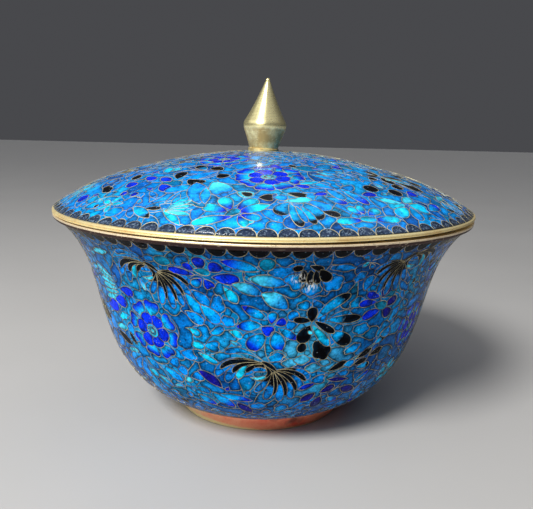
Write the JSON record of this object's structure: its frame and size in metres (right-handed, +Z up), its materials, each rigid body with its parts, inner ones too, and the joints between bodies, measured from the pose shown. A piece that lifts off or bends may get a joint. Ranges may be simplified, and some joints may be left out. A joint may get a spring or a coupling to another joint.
{
  "type": "cloisonne lidded bowl",
  "caption": "Round footed bowl with a flared lip and a domed lift-off lid with a pointed finial, in blue cloisonne enamel with floral wirework.",
  "frame": {"origin": "centre of the foot ring at the height that the bowl stands on", "axes": "+Z up along the bowl's axis, -Y towards the viewer of the picture, +X to that viewer's right"},
  "size_m": [0.125, 0.125, 0.1008],
  "materials": {
    "blue_enamel": "glossy fired enamel between gilt wires, on copper",
    "gilt_brass": "brushed, slightly dulled gilding",
    "finial_brass": "turned and polished, dulled and scratched below the shoulder",
    "worn_copper": "copper where the gilding has worn off"
  },
  "bodies": {
    "root": {"foot_ring": "worn_copper", "bowl_body": "blue_enamel", "bowl_rim": "gilt_brass", "lid_body": "blue_enamel", "lid_rim": "gilt_brass", "finial": "finial_brass"}
  },
  "joints": []
}
